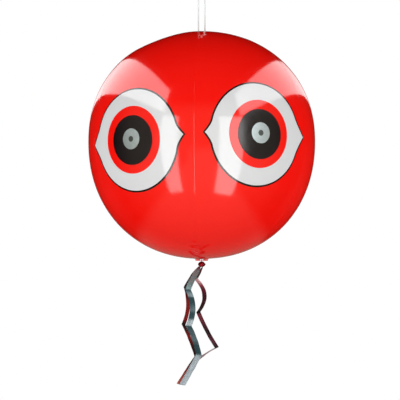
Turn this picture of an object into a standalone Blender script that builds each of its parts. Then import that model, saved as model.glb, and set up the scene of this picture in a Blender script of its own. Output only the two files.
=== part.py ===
"""Bird scare balloon: an inflated ball of six film gores with printed eyes, hung by a looped cord from a
wire hook, with creased foil strands tied under it. Metres, +Z up, origin at the inner top of the hook's
upper bend. The printed faces look along -Y."""

import math

import bmesh
import bpy
from mathutils import Matrix, Vector

# Clearance between pieces that touch on the real object
GAP = 0.0003

# Wire hook, two bends one under the other in the YZ plane
HOOK_WIRE = 0.004
HOOK_BEND_RADIUS = 0.011
HOOK_TIP_TURN = 20.0

# Cord, a loop in the XZ plane: its route is chosen by hand and starts and ends at the knot
CORD_DIAMETER = 0.0028
CORD_ROUTE = [
    (0.0057, -0.0492), (0.0057, -0.0466), (0.0057, -0.0440), (0.00494, -0.04115), (0.00285, -0.03906),
    (0.0, -0.0383), (-0.00285, -0.03906), (-0.00494, -0.04115), (-0.0057, -0.0440), (-0.0057, -0.0500),
    (-0.0057, -0.0580), (-0.0057, -0.0670), (-0.0057, -0.0760), (-0.0057, -0.0850), (-0.0057, -0.0940),
    (-0.0057, -0.1030), (-0.0057, -0.1120), (-0.0057, -0.1203), (-0.00494, -0.12315), (-0.00285, -0.12524),
    (0.0, -0.1260), (0.00285, -0.12524), (0.00494, -0.12315), (0.0057, -0.1203), (0.0057, -0.1120),
    (0.0057, -0.1030), (0.0057, -0.0940), (0.0057, -0.0850), (0.0057, -0.0760), (0.0057, -0.0670),
    (0.0057, -0.0578),
]
CORD_SAMPLES = 2
CORD_BOTTOM_Z = -0.1260
KNOT_TOP_Z = -0.0495
KNOT_BOTTOM_Z = -0.0575
KNOT_X = 0.0057
KNOT_RADIUS = 0.0034
KNOT_TAIL = 0.0035

# Ball, turned from two quarter superellipses
BALL_RADIUS = 0.200
BALL_TOP = 0.1915
BALL_BOTTOM = 0.207
BALL_POWER = 2.134
FILM = 0.00025
GORES = 6
FRONT_SEAM = -3.4
POLE_HOLE_RADIUS = 0.003
GORE_STEPS_ACROSS = 8
GORE_STEPS_UP = 24

# End caps and the two arched tabs
CAP_THICKNESS = 0.0005
TOP_CAP_RADIUS = 0.020
BOTTOM_CAP_RADIUS = 0.0125
HANGING_TAB_WIDTH = 0.016
HANGING_TAB_THICKNESS = 0.0012
HANGING_TAB_BRIDGE = 0.0022
HANGING_TAB_OPENING = 0.0070
HANGING_TAB_CORNER = 0.0035
TAIL_TAB_WIDTH = 0.023
TAIL_TAB_THICKNESS = 0.0010
TAIL_TAB_BAR = 0.0008
TAIL_TAB_OPENING = 0.0060
TAIL_TAB_CORNER = 0.0020

# Pupils: turn from the front seam, then latitude, one for each printed gore
PUPIL_RADIUS = 0.0391
PUPIL_THICKNESS = 0.00015
PUPILS = [(-30.35, -4.55), (30.8, -2.25), (149.4, -3.4), (210.6, -3.4)]

# Foil knot under the ball, with its loop
TAIL_KNOT_DROP = 0.0098
TAIL_KNOT_RADIUS = 0.0061
TAIL_KNOT_HEIGHT = 0.0104
TAIL_LOOP_WIRE = 0.0012

# Foil strands: each runs from its start through its creases. A crease is (across, below the ball, bow of
# the stretch before it). Turn is how far the strand's width is turned out of the picture plane, and lean
# is how far it drifts back for each metre down.
STRAND_WIDTH = 0.013
STRAND_NECK = 0.0035
STRAND_NECK_LENGTH = 0.020
STRAND_THICKNESS = 0.0003
STRAND_STEPS = 6
STRANDS = {
    "foil_strand_left": {
        "turn": -58.0,
        "lean": 0.05,
        "start": (-0.0046, 0.0034, 0.0138),
        "creases": [(-0.0283, 0.0497, -0.0014), (-0.0320, 0.1148, 0.0058), (-0.0094, 0.1735, 0.0010),
                    (-0.0405, 0.2183, -0.0006)],
    },
    "foil_strand_front": {
        "turn": -40.0,
        "lean": -0.04,
        "start": (-0.0030, -0.0036, 0.0136),
        "creases": [(-0.0237, 0.0525, -0.0014), (-0.0224, 0.1145, 0.0072), (-0.0050, 0.1672, 0.0016),
                    (-0.0332, 0.2125, 0.0)],
    },
    "foil_strand_right": {
        "turn": 56.0,
        "lean": 0.10,
        "start": (0.0012, 0.0036, 0.0151),
        "creases": [(-0.0105, 0.0358, 0.0), (-0.0060, 0.0955, 0.0134), (0.0266, 0.1560, -0.0015),
                    (-0.0150, 0.1900, -0.0020)],
    },
}

# Filling valve on the plain gore at the left, turned about the ball's own normal there
VALVE_TURN = -90.0
VALVE_LATITUDE = 40.0
VALVE_HOLE_CLEAR = 0.0010
FLANGE_RADIUS = 0.014
FLANGE_THICKNESS = 0.0007
FLANGE_RIM_START = 0.9
FLANGE_RIM_SHARE = 0.4
STEM_RADIUS = 0.0042
STEM_BORE_RADIUS = 0.0033
STEM_DEPTH = 0.011
STEM_LIP_RADIUS = 0.0086
STEM_LIP_THICKNESS = 0.0010
STEM_LIP_EDGE = 0.0003
PLUG_HEAD_RADIUS = 0.0055
PLUG_HEAD_THICKNESS = 0.0014
PLUG_HEAD_EDGE = 0.0004
PLUG_NOSE_LENGTH = 0.0045
PLUG_NOSE_TIP_RADIUS = 0.0019
PLUG_TONGUE_REACH = 0.0080
PLUG_TONGUE_WIDTH = 0.003
PLUG_TONGUE_THICKNESS = 0.0008
FLAP_THICKNESS = 0.0006

# Heights that follow from the sizes above
HOOK_LOW_WIRE_Z = HOOK_WIRE / 2 - 4 * HOOK_BEND_RADIUS
TOP_POLE_Z = CORD_BOTTOM_Z - CORD_DIAMETER / 2 - 2 * GAP - CAP_THICKNESS
BALL_Z = TOP_POLE_Z - BALL_TOP
BOTTOM_POLE_Z = BALL_Z - BALL_BOTTOM
TAIL_LOOP_BEND = math.hypot(TAIL_TAB_BAR, TAIL_TAB_THICKNESS) / 2 + GAP + TAIL_LOOP_WIRE / 2
TAIL_PIVOT_Z = BOTTOM_POLE_Z - GAP - CAP_THICKNESS - GAP - TAIL_LOOP_WIRE / 2 - TAIL_LOOP_BEND
FLANGE_TOP = GAP + FLANGE_THICKNESS
LIP_TOP = FLANGE_TOP + GAP + STEM_LIP_THICKNESS
PLUG_NOSE_RADIUS = STEM_BORE_RADIUS - GAP


def clear_scene():
    for found in list(bpy.data.objects):
        bpy.data.objects.remove(found, do_unlink=True)


def finish_material(name, colour, roughness, metallic=0.0):
    made = bpy.data.materials.new(name)
    made.use_nodes = True
    shader = made.node_tree.nodes["Principled BSDF"]
    shader.inputs["Base Color"].default_value = (*colour, 1.0)
    shader.inputs["Roughness"].default_value = roughness
    shader.inputs["Metallic"].default_value = metallic
    made.diffuse_color = (*colour, 1.0)
    return made


def on_ball(azimuth, latitude, offset=0.0):
    """A point on the ball, from its centre, with the outward normal. The azimuth runs from -Y towards +X."""
    turn, rise = math.radians(azimuth), math.radians(latitude)
    height = BALL_TOP if rise > 0 else BALL_BOTTOM
    reach = ((math.cos(rise) / BALL_RADIUS) ** BALL_POWER + (abs(math.sin(rise)) / height) ** BALL_POWER)
    reach = reach ** (-1 / BALL_POWER)
    out, up = reach * math.cos(rise), reach * math.sin(rise)
    steep = BALL_POWER - 1
    slope_out = out**steep / BALL_RADIUS**BALL_POWER
    slope_up = math.copysign(abs(up) ** steep / height**BALL_POWER, up)
    normal = Vector((slope_out * math.sin(turn), -slope_out * math.cos(turn), slope_up)).normalized()
    point = Vector((out * math.sin(turn), -out * math.cos(turn), up))
    return point + normal * offset, normal


def height_over_pole(radius, top):
    """How far the ball has dropped from its pole at a distance from the axis."""
    height = BALL_TOP if top else BALL_BOTTOM
    return height * (1 - (1 - (radius / BALL_RADIUS) ** BALL_POWER) ** (1 / BALL_POWER))


def add_pivot(name, place, parent=None):
    """An empty on a joint's axis, for the pieces that move with it."""
    pivot = bpy.data.objects.new(name, None)
    bpy.context.collection.objects.link(pivot)
    pivot["place"] = list(place)
    pivot.parent = parent
    pivot.location = Vector(place) - (Vector(parent["place"]) if parent else Vector())
    return pivot


def add_piece(name, data, material, pivot, frame=None):
    """A piece whose points are measured from frame, a place or a matrix in the whole model's axes."""
    data.materials.append(material)
    piece = bpy.data.objects.new(name, data)
    bpy.context.collection.objects.link(piece)
    piece.parent = pivot
    frame = frame if isinstance(frame, Matrix) else Matrix.Translation(frame or (0, 0, 0))
    piece.matrix_basis = Matrix.Translation(-Vector(pivot["place"])) @ frame
    return piece


def mesh_from(build, name, sharp_angle=35.0):
    """A mesh from a bmesh, closed and facing out, shaded smooth over its gentle edges."""
    bmesh.ops.remove_doubles(build, verts=build.verts, dist=1e-7)
    bmesh.ops.recalc_face_normals(build, faces=build.faces)
    data = bpy.data.meshes.new(name)
    build.to_mesh(data)
    build.free()
    data.shade_smooth()
    data.set_sharp_from_angle(angle=math.radians(sharp_angle))
    return data


def turned(name, outline, steps):
    """A solid turned about Z from a closed outline of (radius, height) points."""
    build = bmesh.new()
    corners = [build.verts.new((radius, 0, height)) for radius, height in outline]
    edges = [build.edges.new((corners[i - 1], corners[i])) for i in range(len(corners))]
    on_axis = [e for e in edges if max(v.co.x for v in e.verts) < 1e-9]
    for edge in on_axis:
        build.edges.remove(edge)
    bmesh.ops.spin(build, geom=build.verts[:] + build.edges[:], cent=(0, 0, 0), axis=(0, 0, 1),
                   angle=2 * math.pi, steps=steps, use_merge=True)
    return mesh_from(build, name)


def plate(name, outline, thickness, to_place):
    """A flat plate of even thickness from an outline of (across, up) points, put in place by a matrix."""
    build = bmesh.new()
    face = build.faces.new([build.verts.new((across, up, -thickness / 2)) for across, up in outline])
    pushed = bmesh.ops.extrude_face_region(build, geom=[face])["geom"]
    bmesh.ops.translate(build, vec=(0, 0, thickness),
                        verts=[v for v in pushed if isinstance(v, bmesh.types.BMVert)])
    bmesh.ops.transform(build, matrix=to_place, verts=build.verts)
    return mesh_from(build, name)


def wire(name, points, radius, sides):
    """A round wire along points that lie in one plane, with flat ends."""
    build = bmesh.new()
    points = [Vector(p) for p in points]
    flat = (points[len(points) // 2] - points[0]).cross(points[-1] - points[0]).normalized()
    rings = []
    for i, point in enumerate(points):
        along = (points[min(i + 1, len(points) - 1)] - points[max(i - 1, 0)]).normalized()
        side = along.cross(flat)
        turns = [2 * math.pi * k / sides for k in range(sides)]
        ways = [math.cos(turn) * side + math.sin(turn) * flat for turn in turns]
        rings.append([build.verts.new(point + radius * way) for way in ways])
    for first, second in zip(rings, rings[1:]):
        for k in range(sides):
            build.faces.new((first[k - 1], first[k], second[k], second[k - 1]))
    build.faces.new(rings[0])
    build.faces.new(rings[-1])
    return mesh_from(build, name)


def helper(name, data, like):
    """A hidden shape that another piece is cut by or joined to."""
    made = bpy.data.objects.new(name, data)
    bpy.context.collection.objects.link(made)
    made.parent = like.parent
    made.matrix_basis = like.matrix_basis
    made.hide_render = True
    made.display_type = "WIRE"
    return made


def add_boolean(piece, other, operation):
    change = piece.modifiers.new(operation.lower(), "BOOLEAN")
    change.operation = operation
    change.solver = "EXACT"
    change.object = other


def smooth_route(points, samples):
    """More points along the smooth curve through the given ones."""
    ends = [2 * points[0] - points[1], *points, 2 * points[-1] - points[-2]]
    route = []
    for before, start, end, after in zip(ends, ends[1:], ends[2:], ends[3:]):
        for k in range(samples):
            t = k / samples
            route.append(
                0.5 * (2 * start + (end - before) * t + (2 * before - 5 * start + 4 * end - after) * t**2
                       + (3 * start - before - 3 * end + after) * t**3)
            )
    return [*route, points[-1]]


def add_hook(pivot, material):
    high = Vector((0, 0, HOOK_WIRE / 2 - HOOK_BEND_RADIUS))
    low = high - Vector((0, 0, 2 * HOOK_BEND_RADIUS))
    steps_per_turn = 32
    path = []
    for centre, first, last in ((high, 180 + HOOK_TIP_TURN, -90), (low, 90, 360 + HOOK_TIP_TURN)):
        steps = round(abs(last - first) / 360 * steps_per_turn)
        for k in range(steps + 1):
            turn = math.radians(first + (last - first) * k / steps)
            path.append(centre + HOOK_BEND_RADIUS * Vector((0, math.cos(turn), math.sin(turn))))
    meeting = round((270 + HOOK_TIP_TURN) / 360 * steps_per_turn)
    del path[meeting]
    line = bpy.data.curves.new("s_hook", "CURVE")
    fill_tube(line, path, HOOK_WIRE, 3)
    return add_piece("s_hook", line, material, pivot)


def fill_tube(line, path, diameter, bevel_resolution):
    line.dimensions = "3D"
    line.bevel_depth = diameter / 2
    line.bevel_resolution = bevel_resolution
    line.use_fill_caps = True
    spline = line.splines.new("POLY")
    spline.points.add(len(path) - 1)
    for point, place in zip(spline.points, path):
        point.co = (*place, 1.0)
    spline.use_smooth = True


def add_cord(pivot, material):
    line = bpy.data.curves.new("hanging_cord", "CURVE")
    route = [Vector((across, 0, up)) for across, up in CORD_ROUTE]
    fill_tube(line, smooth_route(route, CORD_SAMPLES), CORD_DIAMETER, 2)
    return add_piece("hanging_cord", line, material, pivot)


def add_cord_knot(pivot, material):
    """Two round wraps side by side, with the cord's two cut ends beside the strand."""
    half = (KNOT_TOP_Z - KNOT_BOTTOM_Z) / 2
    # shares of the radius and of the half height, from one end in to the waist
    shares = [(0.45, 1.0), (0.92, 0.78), (1.0, 0.45), (0.82, 0.08)]
    side = [(KNOT_RADIUS * across, -half * up) for across, up in shares]
    outline = [(0, -half), *side, *[(radius, -up) for radius, up in reversed(side)], (0, half)]
    knot = add_piece("cord_knot", turned("cord_knot", outline, 16), material, pivot,
                     (KNOT_X, 0, (KNOT_TOP_Z + KNOT_BOTTOM_Z) / 2))
    for index, way in enumerate((1, -1)):
        aside = CORD_DIAMETER + GAP
        root = half * 0.35
        reach = [(aside, 0, way * (root + (half - root + KNOT_TAIL) * k / 2)) for k in range(3)]
        # a slight bow gives the wire its plane
        reach[1] = (aside, way * 0.0002, reach[1][2])
        tail = helper(f"cord_end_{index + 1}", wire("cord_end", reach, CORD_DIAMETER / 2, 8), knot)
        add_boolean(knot, tail, "UNION")
    return knot


def add_gore(index, pivot, material):
    """One sixth of the ball's skin, from one pole hole to the other, a gap short of its two neighbours."""
    build = bmesh.new()
    bmesh.ops.create_grid(build, x_segments=GORE_STEPS_ACROSS, y_segments=GORE_STEPS_UP, size=0.5)
    middle = FRONT_SEAM + 360 / GORES * (index + 0.5)
    first = math.acos((POLE_HOLE_RADIUS / BALL_RADIUS) ** (BALL_POWER / 2))
    for corner in build.verts:
        meridian = 2 * corner.co.y * first
        height = BALL_TOP if meridian > 0 else BALL_BOTTOM
        out = BALL_RADIUS * math.cos(meridian) ** (2 / BALL_POWER)
        up = math.copysign(height * abs(math.sin(meridian)) ** (2 / BALL_POWER), meridian)
        half_width = math.pi / GORES - math.asin(GAP / 2 / out)
        turn = math.radians(middle) + 2 * corner.co.x * half_width
        corner.co = (out * math.sin(turn), -out * math.cos(turn), up)
    skin = mesh_from(build, f"gore_{index + 1}")
    if skin.polygons[0].normal.dot(skin.polygons[0].center) < 0:
        skin.flip_normals()
    gore = add_piece(f"gore_{index + 1}", skin, material, pivot, (0, 0, BALL_Z))
    film = gore.modifiers.new("film", "SOLIDIFY")
    film.thickness = FILM
    film.offset = -1.0
    return gore


def add_end_cap(name, radius, top, pivot, material):
    """A disc that follows the ball over its pole."""
    rings = 4
    inner = [(radius * k / rings, GAP - height_over_pole(radius * k / rings, top)) for k in range(rings + 1)]
    outer = [(across, up + CAP_THICKNESS) for across, up in reversed(inner)]
    data = turned(name, [*inner, *outer], 24)
    frame = Matrix.Translation((0, 0, TOP_POLE_Z if top else BOTTOM_POLE_Z))
    if not top:
        frame = frame @ Matrix.Rotation(math.pi, 4, "X")
    return add_piece(name, data, material, pivot, frame)


def arch(width, opening, clear, bridge, corner):
    """Outline of an arched tab that stands on its two feet, with rounded shoulders."""
    half, total = width / 2, clear + bridge
    steps = 4
    shoulder = []
    for k in range(steps + 1):
        turn = math.pi / 2 * k / steps
        shoulder.append((half - corner * (1 - math.cos(turn)), total - corner * (1 - math.sin(turn))))
    right = [(opening / 2, clear), (opening / 2, 0), (half, 0), *shoulder]
    return [*right, *[(-across, up) for across, up in reversed(right)]]


def add_hanging_tab(pivot, material):
    """Stands across the cord on the upper cap, in the YZ plane."""
    foot = TOP_POLE_Z + GAP + CAP_THICKNESS + GAP
    clear = CORD_BOTTOM_Z + CORD_DIAMETER / 2 + GAP - foot
    outline = arch(HANGING_TAB_WIDTH, HANGING_TAB_OPENING, clear, HANGING_TAB_BRIDGE, HANGING_TAB_CORNER)
    # across becomes Y, up becomes Z and the thickness lies along X
    turn = Matrix(((0, 0, 1, 0), (1, 0, 0, 0), (0, 1, 0, 0), (0, 0, 0, 1)))
    data = plate("hanging_tab", outline, HANGING_TAB_THICKNESS, turn)
    return add_piece("hanging_tab", data, material, pivot, (0, 0, foot))


def add_tail_tab(pivot, material):
    """Hangs from the lower cap in the XZ plane, upside down."""
    foot = BOTTOM_POLE_Z - GAP - CAP_THICKNESS - GAP
    clear = foot - TAIL_PIVOT_Z - TAIL_TAB_BAR / 2
    outline = arch(TAIL_TAB_WIDTH, TAIL_TAB_OPENING, clear, TAIL_TAB_BAR, TAIL_TAB_CORNER)
    turn = Matrix(((1, 0, 0, 0), (0, 0, 1, 0), (0, -1, 0, 0), (0, 0, 0, 1)))
    data = plate("tail_tab", outline, TAIL_TAB_THICKNESS, turn)
    return add_piece("tail_tab", data, material, pivot, (0, 0, foot))


def add_pupil(index, pivot, material):
    """A thin round foil bent to the ball."""
    turn, latitude = PUPILS[index]
    centre, _ = on_ball(FRONT_SEAM + turn, latitude)
    towards = centre.normalized()
    side = Vector((0, 0, 1)).cross(towards).normalized()
    up = towards.cross(side)
    rings, sides = 4, 28
    build = bmesh.new()
    loops = []
    for ring in range(1, rings + 1):
        spread = PUPIL_RADIUS / BALL_RADIUS * ring / rings
        loop = []
        for k in range(sides):
            around = 2 * math.pi * k / sides
            way = math.cos(around) * side + math.sin(around) * up
            way = math.cos(spread) * towards + math.sin(spread) * way
            azimuth = math.degrees(math.atan2(way.x, -way.y))
            place, _ = on_ball(azimuth, math.degrees(math.asin(way.z)), GAP)
            loop.append(build.verts.new(place))
        loops.append(loop)
    hub = build.verts.new(centre + towards * GAP)
    for k in range(sides):
        build.faces.new((hub, loops[0][k - 1], loops[0][k]))
        for inner, outer in zip(loops, loops[1:]):
            build.faces.new((inner[k - 1], outer[k - 1], outer[k], inner[k]))
    name = f"pupil_{index + 1}"
    skin = mesh_from(build, name)
    if skin.polygons[0].normal.dot(skin.polygons[0].center) < 0:
        skin.flip_normals()
    pupil = add_piece(name, skin, material, pivot, (0, 0, BALL_Z))
    foil = pupil.modifiers.new("foil", "SOLIDIFY")
    foil.thickness = PUPIL_THICKNESS
    foil.offset = 1.0
    return pupil


def add_tail_knot(pivot, material):
    """A squat lump of knotted foil, with the loop that passes through the tab above it."""
    steps = 10
    outline = []
    for k in range(steps + 1):
        turn = math.pi * (k / steps - 0.5)
        outline.append((TAIL_KNOT_RADIUS * math.cos(turn), TAIL_KNOT_HEIGHT / 2 * math.sin(turn)))
    outline[0] = (0, outline[0][1])
    outline[-1] = (0, outline[-1][1])
    knot = add_piece("tail_knot", turned("tail_knot", outline, 20), material, pivot,
                     (0, 0, BOTTOM_POLE_Z - TAIL_KNOT_DROP))
    bend = TAIL_LOOP_BEND
    pivot_up = TAIL_PIVOT_Z - (BOTTOM_POLE_Z - TAIL_KNOT_DROP)
    leg_foot = TAIL_KNOT_HEIGHT / 2 * 0.7
    arch_steps = 8
    path = [(0, -bend, leg_foot)]
    for k in range(arch_steps + 1):
        turn = math.pi * (1 - k / arch_steps)
        path.append((0, bend * math.cos(turn), pivot_up + bend * math.sin(turn)))
    path.append((0, bend, leg_foot))
    loop = helper("tail_loop", wire("tail_loop", path, TAIL_LOOP_WIRE / 2, 8), knot)
    add_boolean(knot, loop, "UNION")
    return knot


def strand_stations(strand):
    """Points down the middle of a strand, from the lower pole: straight or bowed from crease to crease."""
    start = Vector((strand["start"][0], strand["start"][2]))
    stations = [start]
    for across, below, bow in strand["creases"]:
        end = Vector((across, below))
        aside = Vector(((end - start).y, -(end - start).x)).normalized()
        for k in range(1, STRAND_STEPS + 1):
            share = k / STRAND_STEPS
            stations.append(start.lerp(end, share) + aside * 4 * bow * share * (1 - share))
        start = end
    turn = math.radians(strand["turn"])
    depth = -math.cos(turn) / math.sin(turn)
    first = strand["start"]
    return [
        Vector((p.x, first[1] + depth * (p.x - first[0]) + strand["lean"] * (p.y - first[2]), -p.y))
        for p in stations
    ]


def add_strand(name, pivot, material):
    strand = STRANDS[name]
    turn = math.radians(strand["turn"])
    width = Vector((math.cos(turn), math.sin(turn), 0))
    stations = strand_stations(strand)
    build = bmesh.new()
    rings = []
    run = 0.0
    for i, place in enumerate(stations):
        before = (place - stations[i - 1]).normalized() if i else (stations[1] - place).normalized()
        after = (stations[i + 1] - place).normalized() if i + 1 < len(stations) else before
        run += (place - stations[i - 1]).length if i else 0.0
        along = (before + after).normalized()
        normal = width.cross(along).normalized() * (STRAND_THICKNESS / 2 / max(along.dot(before), 0.5))
        share = min(1.0, run / STRAND_NECK_LENGTH)
        half = width * (STRAND_NECK + (STRAND_WIDTH - STRAND_NECK) * math.sin(share * math.pi / 2)) / 2
        rings.append([build.verts.new(place + a * half + b * normal)
                      for a, b in ((-1, -1), (1, -1), (1, 1), (-1, 1))])
    for first, second in zip(rings, rings[1:]):
        for k in range(4):
            build.faces.new((first[k - 1], first[k], second[k], second[k - 1]))
    build.faces.new(rings[0])
    build.faces.new(rings[-1])
    return add_piece(name, mesh_from(build, name), material, pivot, (0, 0, BOTTOM_POLE_Z))


def valve_frame():
    """The valve's own axes in the whole model: Z out of the ball, X up the ball's side."""
    place, out = on_ball(FRONT_SEAM + VALVE_TURN, VALVE_LATITUDE)
    across = out.cross(Vector((0, 0, 1))).normalized()
    upward = across.cross(out)
    turn = Matrix((upward, across, out)).transposed().to_4x4()
    return Matrix.Translation(place + Vector((0, 0, BALL_Z))) @ turn


def add_valve_flange(pivot, material, frame):
    drop = FLANGE_RADIUS**2 / 2 / BALL_RADIUS
    inner = STEM_RADIUS + GAP
    outline = [(inner, GAP), (FLANGE_RADIUS / 2, GAP - drop / 4), (FLANGE_RADIUS, GAP - drop),
               (FLANGE_RADIUS, GAP + FLANGE_THICKNESS * FLANGE_RIM_SHARE - drop),
               (FLANGE_RADIUS * FLANGE_RIM_START, FLANGE_TOP - drop * FLANGE_RIM_START**2),
               (FLANGE_RADIUS / 2, FLANGE_TOP - drop / 4), (inner, FLANGE_TOP)]
    return add_piece("valve_flange", turned("valve_flange", outline, 24), material, pivot, frame)


def cut_valve_hole(gore, frame):
    radius, depth = STEM_RADIUS + VALVE_HOLE_CLEAR, 0.004
    outline = [(0, -depth), (radius, -depth), (radius, depth), (0, depth)]
    hole = helper("valve_hole", turned("valve_hole", outline, 20), gore)
    hole.matrix_basis = Matrix.Translation(-Vector(gore.parent["place"])) @ frame
    add_boolean(gore, hole, "DIFFERENCE")


def add_valve_stem(pivot, material, frame):
    lip_bottom = FLANGE_TOP + GAP
    outline = [(STEM_BORE_RADIUS, -STEM_DEPTH), (STEM_RADIUS, -STEM_DEPTH), (STEM_RADIUS, lip_bottom),
               (STEM_LIP_RADIUS, lip_bottom), (STEM_LIP_RADIUS, LIP_TOP - STEM_LIP_EDGE),
               (STEM_LIP_RADIUS - STEM_LIP_EDGE, LIP_TOP), (STEM_BORE_RADIUS, LIP_TOP)]
    return add_piece("valve_stem", turned("valve_stem", outline, 20), material, pivot, frame)


def add_valve_plug(pivot, material, frame):
    under = LIP_TOP + GAP
    top = under + PLUG_HEAD_THICKNESS
    outline = [(0, under - PLUG_NOSE_LENGTH), (PLUG_NOSE_TIP_RADIUS, under - PLUG_NOSE_LENGTH),
               (PLUG_NOSE_RADIUS, under), (PLUG_HEAD_RADIUS, under),
               (PLUG_HEAD_RADIUS, top - PLUG_HEAD_EDGE), (PLUG_HEAD_RADIUS - PLUG_HEAD_EDGE, top), (0, top)]
    plug = add_piece("valve_plug", turned("valve_plug", outline, 20), material, pivot, frame)
    root, reach = PLUG_HEAD_RADIUS * 0.6, PLUG_TONGUE_THICKNESS / 2
    steps = 4
    side = [(root, -reach)]
    for k in range(steps + 1):
        turn = math.pi * (k / steps - 0.5)
        side.append((PLUG_TONGUE_REACH + reach * math.cos(turn), reach * math.sin(turn)))
    side.append((root, reach))
    # the tongue's outline lies in the valve's XZ plane
    stand = Matrix.Translation((0, 0, under + reach)) @ Matrix.Rotation(math.pi / 2, 4, "X")
    tongue = helper("plug_tongue", plate("plug_tongue", side, PLUG_TONGUE_WIDTH, stand), plug)
    add_boolean(plug, tongue, "UNION")
    return plug


def add_check_flap(pivot, material, frame):
    top = -STEM_DEPTH - GAP
    radius = STEM_RADIUS - GAP
    outline = [(0, top - FLAP_THICKNESS), (radius, top - FLAP_THICKNESS), (radius, top), (0, top)]
    return add_piece("check_flap", turned("check_flap", outline, 20), material, pivot, frame)


def main():
    clear_scene()
    red_film = finish_material("red_film", (0.80, 0.02, 0.01), 0.22)
    cap_film = finish_material("cap_film", (0.72, 0.02, 0.015), 0.30)
    pupil_foil = finish_material("pupil_foil", (0.02, 0.02, 0.02), 0.25)
    cord_braid = finish_material("cord_braid", (0.80, 0.81, 0.80), 0.75)
    steel = finish_material("zinc_steel", (0.62, 0.63, 0.64), 0.30, 1.0)
    foil = finish_material("tail_foil", (0.25, 0.05, 0.06), 0.20, 0.9)
    valve_plastic = finish_material("valve_plastic", (0.78, 0.80, 0.80), 0.40)

    root = add_pivot("hook_root", (0, 0, 0))
    cord_pivot = add_pivot("cord_swing", (0, 0, HOOK_LOW_WIRE_Z), root)
    balloon_pivot = add_pivot("balloon_swing", (0, 0, CORD_BOTTOM_Z), cord_pivot)
    tail_pivot = add_pivot("tail_swing", (0, 0, TAIL_PIVOT_Z), balloon_pivot)

    add_hook(root, steel)
    add_cord(cord_pivot, cord_braid)
    add_cord_knot(cord_pivot, cord_braid)

    add_hanging_tab(balloon_pivot, cap_film)
    add_end_cap("top_end_cap", TOP_CAP_RADIUS, True, balloon_pivot, cap_film)
    add_end_cap("bottom_end_cap", BOTTOM_CAP_RADIUS, False, balloon_pivot, cap_film)
    add_tail_tab(balloon_pivot, cap_film)
    gores = [add_gore(index, balloon_pivot, red_film) for index in range(GORES)]
    for index in range(len(PUPILS)):
        add_pupil(index, balloon_pivot, pupil_foil)

    add_tail_knot(tail_pivot, foil)
    for name, strand in STRANDS.items():
        start = strand_stations(strand)[0] + Vector((0, 0, BOTTOM_POLE_Z))
        add_strand(name, add_pivot(f"{name}_swing", start, tail_pivot), foil)

    frame = valve_frame()
    valve_gore = round((VALVE_TURN - 180 / GORES) % 360 / (360 / GORES))
    cut_valve_hole(gores[valve_gore], frame)
    add_valve_flange(balloon_pivot, valve_plastic, frame)
    stem_pivot = add_pivot("valve_push", frame.translation, balloon_pivot)
    add_valve_stem(stem_pivot, valve_plastic, frame)
    hinge_up = LIP_TOP + GAP + PLUG_TONGUE_THICKNESS / 2
    plug_pivot = add_pivot("plug_flip", frame @ Vector((PLUG_TONGUE_REACH, 0, hinge_up)), stem_pivot)
    add_valve_plug(plug_pivot, valve_plastic, frame)
    flap_edge = frame @ Vector((STEM_RADIUS - GAP, 0, -STEM_DEPTH - GAP))
    add_check_flap(add_pivot("flap_swing", flap_edge, stem_pivot), valve_plastic, frame)


main()
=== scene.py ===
"""Looks of the bird scare balloon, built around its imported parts. Metres, +Z up, origin at the inner top of
the hook's upper bend. The printed faces look along -Y."""

from math import asin, atan2, copysign, cos, degrees, exp, hypot, pi, radians, sin, tan

import bmesh
import bpy
from mathutils import Matrix, Vector, noise


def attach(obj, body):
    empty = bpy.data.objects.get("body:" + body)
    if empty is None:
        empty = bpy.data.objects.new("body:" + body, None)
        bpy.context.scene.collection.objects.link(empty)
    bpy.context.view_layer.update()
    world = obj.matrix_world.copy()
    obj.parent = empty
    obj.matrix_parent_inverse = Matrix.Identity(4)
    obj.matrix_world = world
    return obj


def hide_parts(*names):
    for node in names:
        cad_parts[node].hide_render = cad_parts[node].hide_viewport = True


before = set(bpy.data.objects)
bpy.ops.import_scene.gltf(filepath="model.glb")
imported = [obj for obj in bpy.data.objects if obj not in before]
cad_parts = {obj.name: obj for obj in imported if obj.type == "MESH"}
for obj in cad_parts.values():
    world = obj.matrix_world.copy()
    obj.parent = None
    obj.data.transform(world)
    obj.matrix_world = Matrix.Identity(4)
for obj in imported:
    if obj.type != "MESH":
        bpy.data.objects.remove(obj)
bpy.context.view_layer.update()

# Camera, at the photograph's viewing angle
CAMERA_PLACE = (0.0, -1.3903, -0.48455)
CAMERA_RISE = 2.5386
CAMERA_TURN = 0.124
CAMERA_LENS = 70.524

# Clearance between pieces that touch on the real object
GAP = 0.0003

# Wire hook, two bends one under the other in the YZ plane
HOOK_WIRE = 0.004
HOOK_BEND_RADIUS = 0.011
HOOK_TIP_TURN = 20.0

# Cord, a loop in the XZ plane that starts and ends at the knot
CORD_DIAMETER = 0.0028
CORD_LEG = [-0.0670, -0.0760, -0.0850, -0.0940, -0.1030, -0.1120]
CORD_ROUTE = [
    (0.0057, -0.0492), (0.0057, -0.0466), (0.0057, -0.0440), (0.00494, -0.04115), (0.00285, -0.03906),
    (0.0, -0.0383), (-0.00285, -0.03906), (-0.00494, -0.04115), (-0.0057, -0.0440), (-0.0057, -0.0500),
    (-0.0057, -0.0580), *((-0.0057, up) for up in CORD_LEG), (-0.0057, -0.1203), (-0.00494, -0.12315),
    (-0.00285, -0.12524), (0.0, -0.1260), (0.00285, -0.12524), (0.00494, -0.12315), (0.0057, -0.1203),
    *((0.0057, up) for up in reversed(CORD_LEG)), (0.0057, -0.0578),
]
CORD_BOTTOM_Z = -0.1260
KNOT_TOP_Z = -0.0495
KNOT_BOTTOM_Z = -0.0575
KNOT_X = 0.0057
KNOT_RADIUS = 0.0034
KNOT_TAIL = 0.0035

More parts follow.
